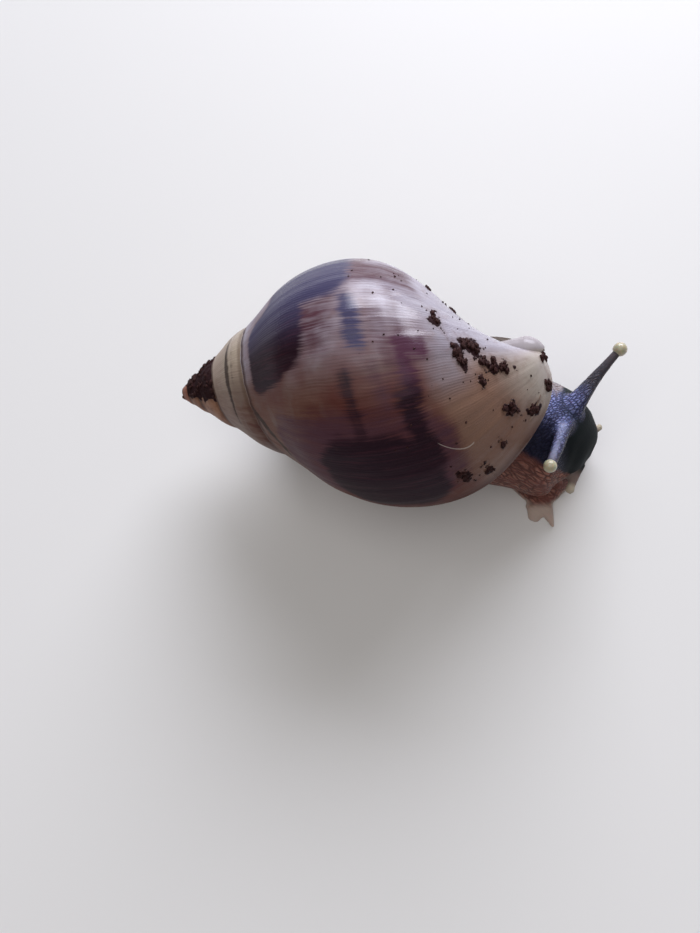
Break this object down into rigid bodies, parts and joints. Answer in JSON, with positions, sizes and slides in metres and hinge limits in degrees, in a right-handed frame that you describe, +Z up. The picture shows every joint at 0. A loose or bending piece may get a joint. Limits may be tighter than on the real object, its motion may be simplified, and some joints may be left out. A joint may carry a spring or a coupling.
{
  "type": "land snail",
  "caption": "Young giant land snail, life size, crawling with its head turned and its eye stalks out; pointed spiral shell over a flat foot.",
  "frame": {"origin": "middle of the footprint box, on the level of the sole", "axes": "+X the way the snail crawls, +Y its left side, +Z up"},
  "size_m": [0.0695, 0.037, 0.0369],
  "materials": {
    "shell": "glossy, finely ribbed",
    "soiled_shell": "shell crusted with soil",
    "mantle": "moist skin",
    "flesh": "moist, granular skin",
    "foot_margin": "moist, pale skin",
    "head": "moist, dark skin",
    "eye": "moist, pale knob"
  },
  "bodies": {
    "root": {"shell_apex": "soiled_shell", "shell_spire": "soiled_shell", "shell_penultimate_whorl": "shell", "shell_body_whorl": "shell", "mantle_collar": "mantle", "foot_tail": "flesh", "foot_middle": "flesh", "foot_front": "foot_margin", "trunk": "flesh", "neck": "flesh", "head": "head", "left_upper_tentacle": "head", "left_eye": "eye", "left_lower_tentacle": "foot_margin", "right_upper_tentacle": "head", "right_eye": "eye", "right_lower_tentacle": "foot_margin"}
  },
  "joints": []
}
